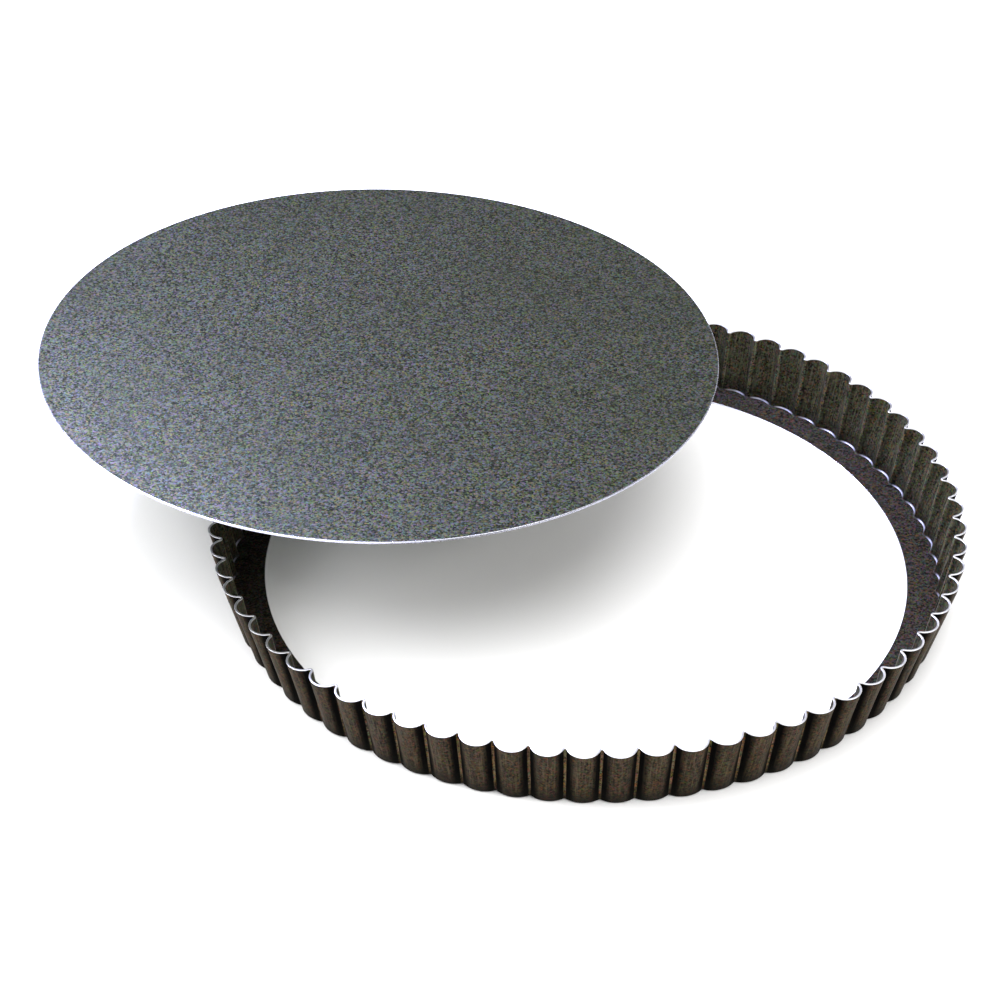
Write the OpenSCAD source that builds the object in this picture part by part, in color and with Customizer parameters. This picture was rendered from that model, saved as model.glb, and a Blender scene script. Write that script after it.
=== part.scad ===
// Loose-bottomed tart pan: one pressed ring with a fluted wall and a turned-in ledge, and
// one flat round bottom that lies on the ledge and lifts out.
// The ring stands on the plane z = 0 with its axis on +Z. The bottom is held out of it.

/* [Ring] */
// Diameter over the outside of the flutes at the rim
rim_d = 280; // [272:1:300]
// Diameter over the outside of the flutes at the table
base_d = 266.8; // [266:0.1:270]
// Height of the wall
ring_h = 26.4; // [20:0.1:40]
// Thickness of the sheet that the ring is pressed from
ring_t = 0.7; // [0.5:0.1:0.8]
// Diameter of the hole that the ledge leaves
hole_d = 240.8; // [220:0.1:244]
// Radius of the bend between the wall and the ledge, on the outside
bend_r = 1.4; // [1.2:0.1:2]

/* [Flutes] */
// Number of flutes around the wall
flutes = 71; // [60:1:76]
// Depth of a flute at the rim
rim_depth = 4.3; // [3:0.1:4.6]
// Depth of a flute at the table
base_depth = 1.8; // [1.4:0.1:2.4]
// Radius of the groove outside each inward ridge
groove_r = 0.4; // [0.3:0.1:0.8]

/* [Loose bottom] */
// Diameter of the loose bottom
bottom_d = 257; // [250:0.5:257]
// Thickness of the loose bottom
bottom_t = 0.8; // [0.6:0.1:1.2]

/* [Held place of the bottom] */
// Place of the bottom's centre to the right of the ring's axis
held_x = -77.2; // [-90:0.1:-70]
// Place of the bottom's centre behind the ring's axis
held_y = 53.3; // [40:0.1:60]
// Height of the bottom's centre above the table
held_z = 62.2; // [60:0.1:80]
// Lean of the bottom about the X axis
lean_x = -1.3; // [-2:0.1:0]
// Lean of the bottom about the Y axis
lean_y = 1.6; // [0:0.1:2]

/* [Hidden] */

// Half the angle that one flute takes up, and the direction of the first inward ridge
half_turn = 180 / flutes;
first_ridge = -90;
// Straight steps in half of an outward arc, and the turn at which the bend is broken in two
arc_steps = 3;
bend_mid = 45;
// Sides of the round edges, which stand for true circles
round_sides = 180;
// The flat ledge is a true disc with a hole. It stops this far short of the bend's tips, and
// the bent wall laps over its edge inside the sheet, just under each of its two faces.
ledge_gap = 0.2;
ledge_lap = 0.8;
ledge_skin = 0.02;
ledge_r = base_d / 2 - base_depth - bend_r - ledge_gap;

// The flutes at one height are outward arcs joined by small inward ridge arcs, all tangent
// to each other. Their two centres serve every outline that is set in from this one, since
// the arcs then only change radius. big_r is the radius over the flutes, deep their depth.
function ridge_place(big_r, deep) = big_r - deep + groove_r;
function arc_r(big_r, deep) =
    let (far = ridge_place(big_r, deep), side = far * cos(half_turn))
    (big_r * big_r + far * far - 2 * big_r * side - groove_r * groove_r)
    / (2 * (big_r + groove_r - side));
// Half the angle that an outward arc turns through, seen from its own centre
function arc_half(big_r, deep) =
    let (far = ridge_place(big_r, deep), near = big_r - arc_r(big_r, deep))
    atan2(far * sin(half_turn), far * cos(half_turn) - near);

// One flute of the outline, set in by inset: the points of its arc, then its ridge's tip
function flute(big_r, deep, inset) =
    let (arc = arc_r(big_r, deep), turn = arc_half(big_r, deep), near = big_r - arc)
    concat(
        [for (k = [-arc_steps:arc_steps])
            let (a = turn * k / arc_steps)
            [near + (arc - inset) * cos(a), (arc - inset) * sin(a)]],
        [let (tip = big_r - deep - inset) [tip * cos(half_turn), tip * sin(half_turn)]]);

function turned(p, a) = [p.x * cos(a) - p.y * sin(a), p.x * sin(a) + p.y * cos(a)];

// The whole outline at height z, and a plain circle with the same number of points
function outline(big_r, deep, inset, z) =
    let (one = flute(big_r, deep, inset))
    [for (k = [0:flutes - 1], p = one)
        let (q = turned(p, first_ridge + half_turn * (2 * k + 1))) [q.x, q.y, z]];
function plain_circle(r, like) =
    [for (p = like) let (s = r / norm([p.x, p.y])) [p.x * s, p.y * s, p.z]];

// The wall leans and its flutes deepen evenly from the table to the rim
function at(z, low, high) = low + (high - low) * z / ring_h;
function wall_outline(z, inset) =
    outline(at(z, base_d, rim_d) / 2, at(z, base_depth, rim_depth), inset, z);
// A point of the bend, a quarter arc of radius r about its centre
function bend_outline(r, a) =
    outline(base_d / 2, base_depth, bend_r - r * cos(a), bend_r - r * sin(a));
function ledge_outline(z) = outline(base_d / 2, base_depth, bend_r, z);

// Closed skin over rings of points, each row the same length, the last row joined to the first
module closed_sweep(rows) {
    n = len(rows[0]);
    m = len(rows);
    polyhedron(
        [for (row = rows, p = row) p],
        [for (i = [0:m - 1], j = [0:n - 1])
            let (a = i * n, b = (i + 1) % m * n, k = (j + 1) % n)
            each [[a + j, b + j, a + k], [a + k, b + j, b + k]]],
        convexity = 8);
}

module bent_wall() {
    low = ledge_outline(ledge_skin);
    high = ledge_outline(ring_t - ledge_skin);
    closed_sweep([
        plain_circle(ledge_r - ledge_lap, low),
        low,
        bend_outline(bend_r, bend_mid),
        wall_outline(bend_r, 0),
        wall_outline(ring_h, 0),
        wall_outline(ring_h, ring_t),
        wall_outline(bend_r, ring_t),
        bend_outline(bend_r - ring_t, bend_mid),
        high,
        plain_circle(ledge_r - ledge_lap, high)]);
}

module ledge() {
    rotate_extrude($fn = round_sides)
        translate([hole_d / 2, 0])
            square([ledge_r - hole_d / 2, ring_t]);
}

module fluted_ring() {
    color([0.2, 0.17, 0.13]) {
        bent_wall();
        ledge();
    }
}

module loose_bottom() {
    color([0.38, 0.4, 0.43])
        translate([held_x, held_y, held_z])
            rotate([lean_x, lean_y, 0])
                cylinder(d = bottom_d, h = bottom_t, center = true, $fn = round_sides);
}

fluted_ring();
loose_bottom();
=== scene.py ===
import math

import bpy
import numpy as np
from mathutils import Matrix, Vector


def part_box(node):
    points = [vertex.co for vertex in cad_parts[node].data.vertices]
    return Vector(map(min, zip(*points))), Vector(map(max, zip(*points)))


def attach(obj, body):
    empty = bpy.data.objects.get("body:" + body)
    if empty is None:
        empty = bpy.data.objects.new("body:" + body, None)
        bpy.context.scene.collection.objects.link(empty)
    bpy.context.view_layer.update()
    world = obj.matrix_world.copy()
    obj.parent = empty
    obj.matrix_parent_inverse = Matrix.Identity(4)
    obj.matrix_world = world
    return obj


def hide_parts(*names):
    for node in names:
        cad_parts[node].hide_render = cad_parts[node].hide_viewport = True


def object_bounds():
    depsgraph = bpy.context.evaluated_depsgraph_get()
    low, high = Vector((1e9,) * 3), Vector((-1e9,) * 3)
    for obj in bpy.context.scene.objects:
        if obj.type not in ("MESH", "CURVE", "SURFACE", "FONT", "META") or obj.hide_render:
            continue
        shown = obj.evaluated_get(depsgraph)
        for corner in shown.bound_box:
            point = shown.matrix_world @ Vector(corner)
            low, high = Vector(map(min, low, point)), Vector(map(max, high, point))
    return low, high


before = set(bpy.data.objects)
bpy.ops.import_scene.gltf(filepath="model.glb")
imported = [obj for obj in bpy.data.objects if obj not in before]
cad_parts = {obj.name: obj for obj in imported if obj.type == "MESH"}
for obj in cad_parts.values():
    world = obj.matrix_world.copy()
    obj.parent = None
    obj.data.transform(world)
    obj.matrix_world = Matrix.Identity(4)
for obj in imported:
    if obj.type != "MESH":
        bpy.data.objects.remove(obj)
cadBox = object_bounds()
mm = 0.001


class Wire:
    # one output of a node; arithmetic on it adds Math nodes
    def __init__(self, finish, socket):
        self.finish = finish
        self.socket = socket

    def reckon(self, operation, *values):
        return self.finish.add("Math", {"operation": operation}, dict(enumerate(values)))

    def __add__(self, other):
        return self.reckon("ADD", self, other)

    __radd__ = __add__

    def __sub__(self, other):
        return self.reckon("SUBTRACT", self, other)

    def __rsub__(self, other):
        return self.reckon("SUBTRACT", other, self)

    def __mul__(self, other):
        return self.reckon("MULTIPLY", self, other)

    __rmul__ = __mul__

    def orMore(self, other):
        return self.reckon("MAXIMUM", self, other)


class Finish:
    # the nodes of a material or of the sky, and the one method that adds any node to them
    def __init__(self, owner):
        self.owner = owner
        owner.use_nodes = True
        self.tree = owner.node_tree
        self.tree.nodes.clear()

    def add(self, kind, settings=None, sockets=None, out=0):
        node = self.tree.nodes.new("ShaderNode" + kind)
        for key, value in (settings or {}).items():
            if key == "stops":
                ramp = node.color_ramp.elements
                while len(ramp) < len(value):
                    ramp.new(0.5)
                for stop, (place, shade) in zip(ramp, value):
                    stop.position = place
                    stop.color = (shade, shade, shade, 1)
            else:
                setattr(node, key, value)
        for key, value in (sockets or {}).items():
            if isinstance(value, Wire):
                self.tree.links.new(value.socket, node.inputs[key])
            elif isinstance(value, tuple) and node.inputs[key].type == "RGBA":
                node.inputs[key].default_value = (*value, 1)
            else:
                node.inputs[key].default_value = value
        return Wire(self, node.outputs[out]) if node.outputs else node

    def parts(self, kind, sockets):
        # every output of a node that takes a colour or a vector apart
        first = self.add(kind, None, sockets)
        return [Wire(self, socket) for socket in first.socket.node.outputs]

    def colours(self, share, first, second, mode="MIX"):
        # sockets 6 and 7 and output 2 of a Mix node are its colours
        settings = {"data_type": "RGBA", "blend_type": mode}
        return self.add("Mix", settings, {0: share, 6: first, 7: second}, out=2)

    def vectors(self, operation, first, second):
        return self.add("VectorMath", {"operation": operation}, {0: first, 1: second})

    def place(self):
        # Object coordinates
        return self.add("TexCoord", out=3)

    def mask(self, name):
        return self.add("Attribute", {"attribute_name": name}, out=2)

    def noise(self, where, scale, detail=2.0, roughness=0.5):
        sockets = {"Vector": where, "Scale": scale, "Detail": detail, "Roughness": roughness}
        return self.add("TexNoise", sockets=sockets)

    def stretch(self, value, low, high):
        # brings low to 0 and high to 1, and stops there
        sockets = {"Value": value, "From Min": low, "From Max": high}
        return self.add("MapRange", {"clamp": True}, sockets)

    def finishWith(self, sockets):
        shader = self.add("BsdfPrincipled", sockets=sockets)
        self.add("OutputMaterial", sockets={"Surface": shader})
        return self.owner


def speckle(f, here, s):
    # Grains of the coating: each cell of a cell pattern has its own brightness and its own hue
    sockets = {"Vector": here, "Scale": s["grains"], "Randomness": 1.0}
    cells = f.add("TexVoronoi", None, sockets, out=1)
    bright, warmth, blush = f.parts("SeparateColor", {"Color": cells})
    colour = f.colours(bright, s["dark"], s["light"])
    colour = f.colours(1.0, colour, f.colours(warmth, s["warm"], s["cool"]), "MULTIPLY")
    colour = f.colours(1.0, colour, f.colours(blush, s["rosy"], s["green"]), "MULTIPLY")
    return colour, bright


def meshPiece(name, points, faces, material, masks=None):
    mesh = bpy.data.meshes.new(name)
    mesh.from_pydata(points.tolist(), [], faces)
    for key, values in (masks or {}).items():
        layer = mesh.attributes.new(key, "FLOAT", "POINT")
        layer.data.foreach_set("value", values.astype(np.float32))
    mesh.shade_smooth()
    mesh.validate()
    mesh.materials.append(material)
    piece = bpy.data.objects.new(name, mesh)
    bpy.context.scene.collection.objects.link(piece)
    return piece


def wrappedQuads(rows, columns, closeRows):
    # quads of a grid that closes round its columns, and round its rows too if asked
    i = np.arange(rows if closeRows else rows - 1)[:, None]
    j = np.arange(columns)[None, :]
    below = i * columns
    above = (i + 1) % rows * columns
    right = (j + 1) % columns
    corners = np.broadcast_arrays(below + j, below + right, above + right, above + j)
    return np.stack(corners, -1).reshape(-1, 4)


# The pressed ring. Colours are linear, and scales are in grains, patches or lines to the metre.
ringSet = dict(
    flutes=71,
    firstRidge=-90,         # degrees, a ridge points straight at the front
    baseRadius=133.4 * mm,  # over the flutes at the table
    rimDepth=4.3 * mm,
    baseDepth=1.8 * mm,
    grooveRadius=0.4 * mm,
    sheet=0.7 * mm,
    bend=1.4 * mm,
    holeRadius=120.4 * mm,
    cutRound=0.12 * mm,     # the cut edges are slightly broken
    shoulder=3,             # the wall's last row is this many roundings below the rim
    arcSteps=12,            # columns on one outward arc
    ridgeSteps=6,           # columns on one inward ridge
    cutRows=4,              # rows on each stretch of the section
    wallRows=8,
    outerBendRows=8,
    innerBendRows=9,
    ledgeRows=(0.02, 0.3, 0.6, 0.9),  # shares of the way from the hole to the bend
    bendIsWall=0.3,         # how much of the wall's finish the inside of the bend has
    # speckle of the coating
    grains=1600.0,
    dark=(0.001, 0.001, 0.001),
    light=(0.039, 0.033, 0.026),
    warm=(1.2, 1.1, 0.4),
    cool=(0.8, 0.9, 1.6),
    rosy=(1.4, 0.7, 1.0),
    green=(0.6, 1.3, 1.0),
    # drawn lines up the wall
    lines=260.0,            # to the radius, all round
    lineDrift=0.4,          # how fast they change with height
    lineBreaks=0.6,
    lineRange=(0.46, 0.72),
    lineShare=0.55,
    lineColour=(0.060, 0.058, 0.050),
    # the wall's tint inside and out, painted light for how each side is lit, and its painted shade
    # and highlight across a flute, from the middle of a flute at 0 to the tip of a ridge at 1
    insideLitTint=(1.45, 1.5, 1.15),
    outsideLitTint=(0.92, 0.70, 0.42),
    insideLightAndShade=[(0.0, 0.95), (0.3, 0.95), (0.42, 0.68), (0.5, 0.75), (0.62, 1.3), (1.0, 1.5)],
    outsideLightAndShade=[(0.0, 1.25), (0.2, 1.2), (0.3, 0.4), (0.36, 0.03), (0.475, 0.03),
                  (0.495, 3.6), (1.0, 4.4)],
    # painted shade at the foot of the wall, between these heights
    footShadeColour=(0.004, 0.004, 0.003),
    footShadeRange=(1 * mm, 8 * mm),
    footShadeShare=0.75,
    # wear towards bright steel inside the bend, partly a painted highlight along the crease, in
    # dashes that end before the ridges
    patches=160.0,
    patchRange=(0.3, 0.55),
    wearAndHighlightLeast=0.35,
    dashEnds=(0.35, 0.9),
    dashLoss=0.95,
    wearAndHighlightColour=(0.36, 0.36, 0.44),
    wearAndHighlightMetal=0.7,
    wearAndHighlightSmooth=0.14,
    steel=(0.60, 0.60, 0.61),  # bare at the cut edges
    bareMetal=0.95,
    bareSmooth=0.2,
    # relief and gloss
    pebble=2400.0,
    pebbleHeight=0.6,
    grainHeight=0.4,
    lineHeight=0.5,
    bumpStrength=0.35,
    bumpDepth=0.06 * mm,
    roughness=0.45,
    broad=40.0,             # slow change of the gloss
    broadRough=0.12,
    paintedShadeRough=0.42,
    lineSmooth=0.1,
    specular=0.035,
)


def ringColumns(s):
    # Columns of the ring: which flute each is on, and its place along that flute. From -1 to 1
    # is the outward arc, from 1 to 2 and from -1 to -2 the halves of the ridge beside it.
    arc = np.linspace(-1, 1, s["arcSteps"] + 1)
    half = np.linspace(1, 2, s["ridgeSteps"] // 2 + 1)[1:]
    along = np.concatenate([-half[::-1][1:], arc, half])
    flute = np.repeat(np.arange(s["flutes"]), len(along))
    return flute, np.tile(along, s["flutes"])


def fluteOutline(s, bigRadius, depth, inset):
    # Arcs of one radius about centres on a circle, joined by small ridge arcs that are tangent
    # to both their neighbours. An inset takes its amount off the arcs and adds it to the ridges.
    halfTurn = math.pi / s["flutes"]
    groove = s["grooveRadius"]
    flute, along = ringColumns(s)
    big, deep, inward = (np.asarray(v, float)[:, None] for v in (bigRadius, depth, inset))
    far = big - deep + groove
    side = far * math.cos(halfTurn)
    arc = (big ** 2 + far ** 2 - 2 * big * side - groove ** 2) / (2 * (big + groove - side))
    near = big - arc
    arcHalf = np.arctan2(far * math.sin(halfTurn), side - near)
    sign = np.sign(along)[None, :]
    onRidge = np.abs(along)[None, :] > 1
    t = np.clip(np.abs(along)[None, :] - 1, 0, 1)
    a = arcHalf * along[None, :]
    b = math.pi + arcHalf + (halfTurn - arcHalf) * t
    x = np.where(onRidge, side + (groove + inward) * np.cos(b), near + (arc - inward) * np.cos(a))
    y = np.where(onRidge, sign * (far * math.sin(halfTurn) + (groove + inward) * np.sin(b)),
                 (arc - inward) * np.sin(a))
    turn = math.radians(s["firstRidge"]) + halfTurn * (2 * flute + 1)
    return x * np.cos(turn) - y * np.sin(turn), x * np.sin(turn) + y * np.cos(turn)


def ringProfile(s, rimRadius, height):
    # Rows of the ring, round its section: underside, bend, outside, cut rim, inside, bend, ledge
    # and hole. Each row has a height, an inset from the outline at that height, how far it is
    # from the round hole to the fluted outline, and its masks: bare, bend, outer, wall.
    lean = (rimRadius - s["baseRadius"]) / height
    slant = math.hypot(1, lean)
    b, t, c = s["bend"], s["sheet"], s["cutRound"]
    flat = b * slant - lean * b  # inset of the bend's centre, where the ledge begins
    thick = t * slant
    wallTurn = math.atan(lean)
    rows = []

    def put(z, inset, share=1.0, bare=0.0, bend=0.0, outer=0.0, wall=0.0):
        columns = np.broadcast_arrays(z, inset, share, bare, bend, outer, wall)
        rows.extend(np.stack(columns, -1).reshape(-1, len(columns)).tolist())

    def bendRows(radius, turns):
        z = b + radius * np.sin(turns)
        return z, lean * z + flat - radius * np.cos(turns)

    quarter = np.linspace(0, math.pi / 2, s["cutRows"])
    corner = c - c * np.cos(quarter)
    wallHeights = np.linspace(b, height - s["shoulder"] * c, s["wallRows"])
    outerTurns = np.linspace(-math.pi / 2, -wallTurn, s["outerBendRows"])
    innerTurns = np.linspace(-wallTurn, -math.pi / 2, s["innerBendRows"])
    # the bend's wear and painted highlight rise from the bend's ends to its middle
    wearAndHighlightRise = np.sqrt(np.sin(np.linspace(0, math.pi, s["innerBendRows"])))
    ledgeShares = np.array(s["ledgeRows"])
    put(0, flat, ledgeShares)
    put(*bendRows(b, outerTurns), outer=1)
    put(wallHeights[1:], 0, outer=1, wall=1)
    put(height - c + c * np.sin(quarter), corner, bare=1)
    put(height - c + c * np.cos(quarter), thick - corner[::-1], bare=1)
    put(wallHeights[:0:-1], thick, wall=1)
    put(*bendRows(b - t, innerTurns), bend=wearAndHighlightRise, wall=s["bendIsWall"])
    put(t, flat, ledgeShares[::-1])
    put(t - c + c * np.cos(quarter), flat, share=0, bare=1)
    put(c - c * np.sin(quarter), flat, share=0, bare=1)
    return np.array(rows)


def makeRing(s, material):
    # the wall leans and its flutes deepen evenly from the table to the rim
    _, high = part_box("fluted_ring")
    rimRadius, height = high.y, high.z
    z, inset, share, bare, bend, outer, wall = ringProfile(s, rimRadius, height).T
    up = z / height
    bigRadius = s["baseRadius"] + (rimRadius - s["baseRadius"]) * up
    depth = s["baseDepth"] + (s["rimDepth"] - s["baseDepth"]) * up
    x, y = fluteOutline(s, bigRadius, depth, inset)
    far = np.hypot(x, y)
    # the cut edge of the hole is a circle, with its two corners rounded
    c = s["cutRound"]
    within = np.clip(1 - np.minimum(z, s["sheet"] - z) / c, 0, 1)
    hole = s["holeRadius"] + (share <= 0) * c * (1 - np.sqrt(1 - within ** 2))
    scale = (hole[:, None] * (1 - share[:, None]) + far * share[:, None]) / far
    points = np.stack([x * scale, y * scale, np.broadcast_to(z[:, None], x.shape)], -1)
    rows, columns = x.shape
    _, along = ringColumns(s)
    masks = {"bare": bare, "bend": bend, "outer": outer, "wall": wall}
    masks = {name: np.repeat(values, columns) for name, values in masks.items()}
    masks["groove"] = np.tile(np.abs(along), rows)
    faces = wrappedQuads(rows, columns, True).tolist()
    return meshPiece("flutedRing", points.reshape(-1, 3), faces, material, masks)


def ringFinish(s):
    f = Finish(bpy.data.materials.new("ringCoating"))
    here = f.place()
    bare, bend, groove, outer, wall = (f.mask(n) for n in ("bare", "bend", "groove", "outer", "wall"))
    colour, grain = speckle(f, here, s)
    # drawn lines: noise on the direction from the axis, which hardly changes with height
    flat = f.vectors("MULTIPLY", here, (1, 1, 0))
    around = f.vectors("NORMALIZE", flat, (0, 0, 0))
    drift = f.vectors("MULTIPLY", here, (0, 0, s["lineDrift"]))
    lines = f.noise(f.vectors("ADD", around, drift), s["lines"], roughness=s["lineBreaks"])
    lines = f.stretch(lines, *s["lineRange"]) * wall
    colour = f.colours(lines * s["lineShare"], colour, s["lineColour"])
    # the wall has its own tint inside and out, painted light for how each side is lit, painted shade
    # beside the ridges and a painted highlight line on each
    onWall = outer.orMore(wall)
    # painted light: one coating is tinted differently inside and out for how each side is lit
    litTint = f.colours(outer, s["insideLitTint"], s["outsideLitTint"])
    colour = f.colours(onWall, colour, litTint, "MULTIPLY")
    along = {"Fac": groove * 0.5}  # the groove mask goes from 0 to 2
    # painted shade beside the ridges and a painted highlight on them, as colour across each flute
    inside = f.add("ValToRGB", {"stops": s["insideLightAndShade"]}, along)
    outside = f.add("ValToRGB", {"stops": s["outsideLightAndShade"]}, along)
    paintedLightAndShade = f.colours(outer, inside, outside)
    colour = f.colours(onWall, colour, paintedLightAndShade, "MULTIPLY")
    # where the bands paint shade, the coating is also made rougher
    paintedShade = (1 - f.stretch(paintedLightAndShade, 0.0, 1.0)) * onWall
    upward = f.parts("SeparateXYZ", {"Vector": here})[2]
    # painted shade: darker towards the foot of the wall, inside and out
    footShade = (1 - f.stretch(upward, *s["footShadeRange"])) * onWall
    colour = f.colours(footShade * s["footShadeShare"], colour, s["footShadeColour"])
    # the inside of the bend is worn in patches and carries a painted highlight, and the cut edges are
    # bare
    patches = f.stretch(f.noise(here, s["patches"]), *s["patchRange"])
    dashes = 1 - s["dashLoss"] * f.stretch(groove, *s["dashEnds"])
    # partly wear and partly a painted highlight along the crease inside the bend
    wearAndHighlight = bend * (s["wearAndHighlightLeast"] + (1 - s["wearAndHighlightLeast"]) * patches) * dashes
    colour = f.colours(wearAndHighlight, colour, s["wearAndHighlightColour"])
    colour = f.colours(bare, colour, s["steel"])
    pebble = f.noise(here, s["pebble"])
    height = pebble * s["pebbleHeight"] + grain * s["grainHeight"] + lines * s["lineHeight"]
    sockets = {"Strength": s["bumpStrength"], "Distance": s["bumpDepth"], "Height": height}
    rough = s["roughness"] + s["broadRough"] * f.noise(here, s["broad"]) + s["paintedShadeRough"] * paintedShade
    smooth = s["lineSmooth"] * lines + s["bareSmooth"] * bare + s["wearAndHighlightSmooth"] * wearAndHighlight
    return f.finishWith({
        "Base Color": colour,
        "Metallic": (bare * s["bareMetal"]).orMore(wearAndHighlight * s["wearAndHighlightMetal"]),
        "Roughness": rough - smooth,
        "Specular IOR Level": s["specular"],
        "Normal": f.add("Bump", None, sockets),
    })


# the loose bottom
bottomSet = dict(
    leanX=-1.3,             # degrees, as it is held
    leanY=1.6,
    sheet=0.8 * mm,
    cutRound=0.15 * mm,
    shoulder=3,             # the flat's last row is this many roundings in from the edge
    columns=360,
    rings=(0.1, 0.25, 0.4, 0.55, 0.7, 0.82, 0.92, 0.98),  # shares of the radius
    cutRows=5,
    bow=0.06 * mm,          # the edge's waves, up and down from truly flat
    bowWaves=((2, 1.0, 0.7), (3, 0.5, 2.1)),  # number of waves, share of the bow, phase
    # speckle of the coating
    grains=1600.0,
    dark=(0.008, 0.009, 0.006),
    light=(0.140, 0.148, 0.116),
    warm=(1.1, 1.1, 0.4),
    cool=(0.9, 0.9, 1.6),
    rosy=(1.3, 0.84, 1.1),
    green=(0.7, 1.16, 0.9),
    # slow cloudiness from uneven spraying
    clouds=16.0,
    cloudDetail=3.0,
    cloudRange=(0.3, 0.7),
    cloudShare=0.22,
    cloudColour=(0.07, 0.08, 0.055),
    cloudSmooth=0.05,
    # a few light scuffs, long along X
    scratches=(90.0, 1400.0, 1.0),
    scratchRange=(0.68, 0.78),
    scuffPatches=22.0,
    scuffRange=(0.5, 0.65),
    scuffShare=0.35,
    scuffColour=(0.22, 0.22, 0.25),
    steel=(0.44, 0.44, 0.48),  # bare at the cut edge
    # relief and gloss
    pebble=2600.0,
    pebbleHeight=0.5,
    grainHeight=0.5,
    bumpStrength=0.4,
    bumpDepth=0.04 * mm,
    metal=0.84,
    bareMetal=0.12,
    roughness=0.32,
    grainRough=0.08,
    bareSmooth=0.08,
    specular=0.35,
)


def makeBottom(s, material):
    # A disc turned from its profile: top, rounded cut edge and underside, about its own axis,
    # bowed a little, then leaned and carried to its place.
    low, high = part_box("loose_bottom")
    leanX, leanY = math.radians(s["leanX"]), math.radians(s["leanY"])
    half = s["sheet"] / 2
    radius = ((high.x - low.x) / 2 - half * math.sin(abs(leanY))) / math.cos(leanY)
    c = s["cutRound"]
    flat = np.append(np.array(s["rings"]) * radius, radius - s["shoulder"] * c)
    quarter = np.linspace(0, math.pi / 2, s["cutRows"])
    edge = radius - c
    r = np.concatenate([flat, edge + c * np.sin(quarter), edge + c * np.cos(quarter), flat[::-1]])
    z = np.concatenate([np.full(len(flat), half), half - c + c * np.cos(quarter),
                        c - half - c * np.sin(quarter), np.full(len(flat), -half)])
    bare = np.repeat([0.0, 1.0, 0.0], [len(flat), 2 * len(quarter), len(flat)])
    turn = np.linspace(0, 2 * math.pi, s["columns"], endpoint=False)
    r = r[:, None]
    waves = sum(share * np.cos(count * turn + phase) for count, share, phase in s["bowWaves"])
    bow = s["bow"] * waves * (r / radius) ** 2
    body = np.stack([r * np.cos(turn), r * np.sin(turn), z[:, None] + bow], -1)
    rows, columns = body.shape[:2]
    points = np.concatenate([body.reshape(-1, 3), [[0, 0, half], [0, 0, -half]]])
    # the grid's quads, and a fan of triangles about the middle of each face
    j = np.arange(columns)
    k = (j + 1) % columns
    last = (rows - 1) * columns
    top = np.stack([np.full(columns, rows * columns), j, k], -1)
    under = np.stack([np.full(columns, rows * columns + 1), last + k, last + j], -1)
    faces = wrappedQuads(rows, columns, False)[:, ::-1].tolist() + top.tolist() + under.tolist()
    lean = Matrix.Rotation(leanY, 3, "Y") @ Matrix.Rotation(leanX, 3, "X")
    points = points @ np.array(lean).T + np.array((low + high) / 2)
    masks = {"bare": np.append(np.repeat(bare, columns), [0, 0])}
    return meshPiece("looseBottom", points, faces, material, masks)


def bottomFinish(s):
    f = Finish(bpy.data.materials.new("bottomCoating"))
    here = f.place()
    bare = f.mask("bare")
    colour, grain = speckle(f, here, s)
    clouds = f.noise(here, s["clouds"], s["cloudDetail"])
    cloudy = f.stretch(clouds, *s["cloudRange"]) * s["cloudShare"]
    colour = f.colours(cloudy, colour, s["cloudColour"])
    scratches = f.noise(f.vectors("MULTIPLY", here, s["scratches"]), 1.0)
    patches = f.noise(here, s["scuffPatches"], 1.0)
    scuffs = f.stretch(scratches, *s["scratchRange"]) * f.stretch(patches, *s["scuffRange"])
    colour = f.colours(scuffs * s["scuffShare"], colour, s["scuffColour"])
    colour = f.colours(bare, colour, s["steel"])
    height = f.noise(here, s["pebble"]) * s["pebbleHeight"] + grain * s["grainHeight"]
    sockets = {"Strength": s["bumpStrength"], "Distance": s["bumpDepth"], "Height": height}
    smooth = s["bareSmooth"] * bare + s["cloudSmooth"] * clouds
    return f.finishWith({
        "Base Color": colour,
        "Metallic": s["metal"] + bare * s["bareMetal"],
        "Roughness": s["roughness"] + s["grainRough"] * grain - smooth,
        "Specular IOR Level": s["specular"],
        "Normal": f.add("Bump", None, sockets),
    })


floorSet = dict(
    colour=(0.9, 0.9, 0.9),
    darker=0.98,            # of the colour, in soft patches
    patches=3.0,
    roughness=0.6,
    halfSide=6.0,           # metres
)


def floorFinish(s):
    f = Finish(bpy.data.materials.new("paleFloor"))
    darker = tuple(v * s["darker"] for v in s["colour"])
    colour = f.colours(f.noise(f.place(), s["patches"]), s["colour"], darker)
    return f.finishWith({"Base Color": colour, "Roughness": s["roughness"]})


def makeFloor(s):
    corners = ((-1, -1, 0), (1, -1, 0), (1, 1, 0), (-1, 1, 0))
    points = np.array(corners, float) * s["halfSide"]
    floor = meshPiece("floor", points, [(0, 1, 2, 3)], floorFinish(s))


cameraSet = dict(
    aim=(0.0006, -0.0284, 0.0),  # metres from the middle of the CAD box
    distance=0.868,
    turn=0.517,             # degrees, how far it looks to the right of straight back
    tilt=35.996,
    roll=0.115,
    lens=85.16,
    film=36.0,
)


def makeCamera(s):
    low, high = cadBox
    aim = (low + high) / 2 + Vector(s["aim"])
    turn, tilt = math.radians(s["turn"]), math.radians(s["tilt"])
    level = math.cos(tilt)
    ahead = Vector((math.sin(turn) * level, math.cos(turn) * level, -math.sin(tilt)))
    data = bpy.data.cameras.new("camera")
    data.lens = s["lens"]
    data.sensor_width = s["film"]
    camera = bpy.data.objects.new("camera", data)
    bpy.context.scene.collection.objects.link(camera)
    camera.location = aim - ahead * s["distance"]
    facing = ahead.to_track_quat("-Z", "Y").to_matrix().to_4x4()
    camera.rotation_euler = (facing @ Matrix.Rotation(math.radians(s["roll"]), 4, "Z")).to_euler()
    bpy.context.scene.camera = camera


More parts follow.
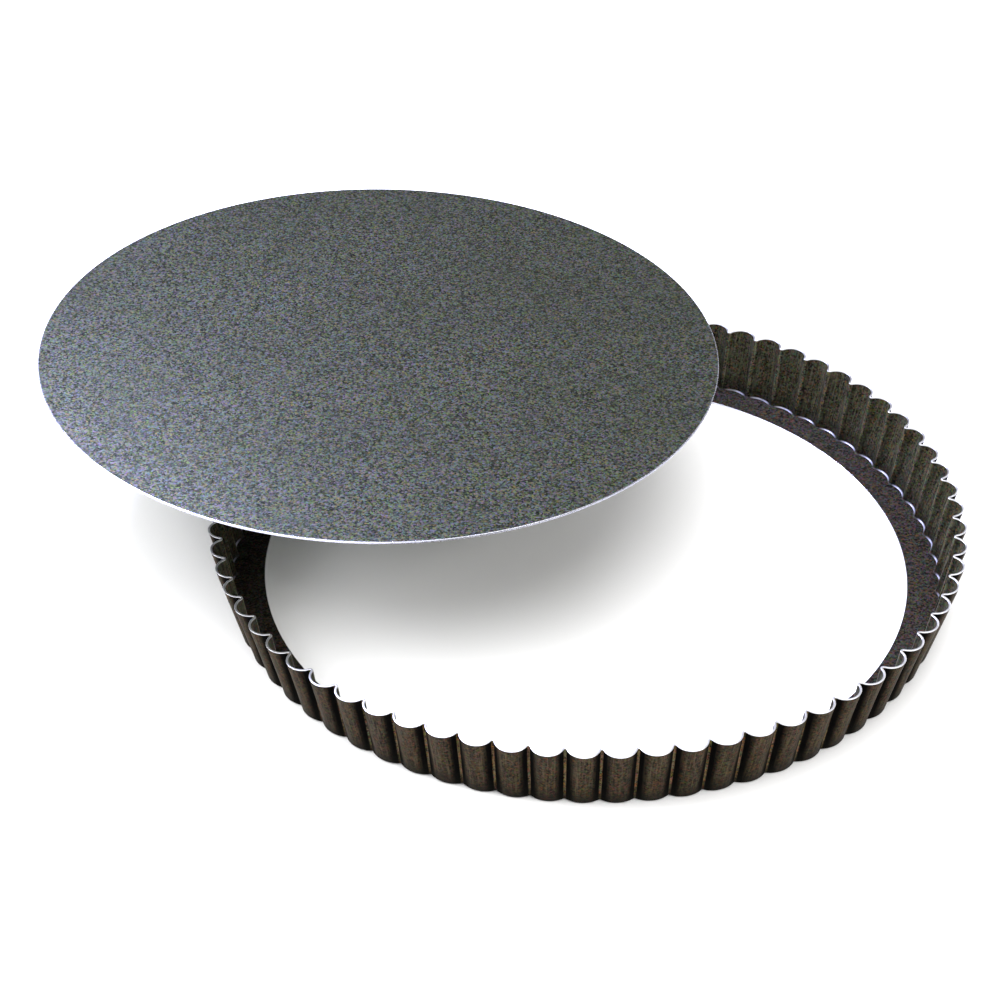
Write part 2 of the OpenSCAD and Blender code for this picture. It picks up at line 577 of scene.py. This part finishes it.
# place and aim in metres, power in watts, diameter in metres
lightSet = {
    "leftPanel": dict(place=(-0.36, 0.415, 0.715), aim=(-0.1, 0.02, 0.06), size=0.3, power=17.0,
                      colour=(0.57, 0.61, 1.0)),
    "leftFill": dict(place=(-0.68, -0.1, 0.48), aim=(-0.15, 0.0, 0.06), size=0.4, power=4.5,
                     colour=(0.97, 0.98, 1.0)),
    "rightPanel": dict(place=(0.75, 1.1, 1.0), aim=(0.12, -0.05, 0.0), size=0.35, power=2.2,
                       colour=(0.96, 0.95, 1.0)),
    "sidePanel": dict(place=(0.95, -0.75, 0.8), aim=(0.05, -0.05, 0.0), size=0.5, power=7.0,
                      colour=(1.0, 0.98, 0.95)),
}
# the wide soft light above: degrees from upright, degrees across, watts a square metre
overheadSet = dict(fromLeft=6.0, spread=79.0, power=4.6)


def addLight(name, kind, place, aim, power, settings):
    data = bpy.data.lights.new(name, kind)
    data.energy = power
    for key, value in settings.items():
        setattr(data, key, value)
    light = bpy.data.objects.new(name, data)
    bpy.context.scene.collection.objects.link(light)
    light.location = place
    light.rotation_euler = (Vector(aim) - Vector(place)).to_track_quat("-Z", "Y").to_euler()


def makeLights(panels, overhead):
    for name, s in panels.items():
        settings = {"shape": "DISK", "size": s["size"], "color": s["colour"]}
        addLight(name, "AREA", s["place"], s["aim"], s["power"], settings)
    away = math.radians(overhead["fromLeft"])
    place = (-math.sin(away), 0, math.cos(away))
    settings = {"angle": math.radians(overhead["spread"])}
    addLight("overhead", "SUN", place, (0, 0, 0), overhead["power"], settings)


skySet = dict(
    wall=0.15,              # the studio's dim walls, high and behind
    front=1.0,              # bright wall behind the camera and to its right
    frontWay=(0.55, -0.83, 0.0),
    frontRange=(0.0, 0.85),  # how far a direction agrees with that where it starts and is full
    low=0.9,                # pale band round the horizon
    lowRange=(0.05, 0.2),   # heights of a direction where the band begins to fade and is gone
    lowWay=0.3,             # the band fades away from the bright wall from here on
)


def makeSky(s):
    # dim walls, brighter towards the front right and in a band round the horizon
    world = bpy.data.worlds.new("studio")
    bpy.context.scene.world = world
    f = Finish(world)
    way = f.add("TexCoord", out=0)  # on the sky, the direction looked in
    upward = f.parts("SeparateXYZ", {"Vector": way})[2]
    product = {"operation": "DOT_PRODUCT"}
    agreed = f.add("VectorMath", product, {0: way, 1: s["frontWay"]}, out=1)
    front = f.stretch(agreed, *s["frontRange"]) * (s["front"] - s["wall"])
    low = (1 - f.stretch(upward, *s["lowRange"])) * (s["low"] - s["wall"])
    low = low * f.stretch(agreed, -1.0, s["lowWay"])
    sockets = {"Color": (1.0, 1.0, 1.0), "Strength": s["wall"] + front.orMore(low)}
    f.add("OutputWorld", sockets={"Surface": f.add("Background", None, sockets)})


bpy.context.scene.view_settings.view_transform = "Standard"
makeCamera(cameraSet)
makeSky(skySet)
makeLights(lightSet, overheadSet)
makeFloor(floorSet)
print("stage ready")

ring = makeRing(ringSet, ringFinish(ringSet))
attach(ring, "ring")
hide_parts("fluted_ring")
print("fluted ring:", len(ring.data.polygons), "faces")

bottom = makeBottom(bottomSet, bottomFinish(bottomSet))
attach(bottom, "bottom")
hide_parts("loose_bottom")
print("loose bottom:", len(bottom.data.polygons), "faces")
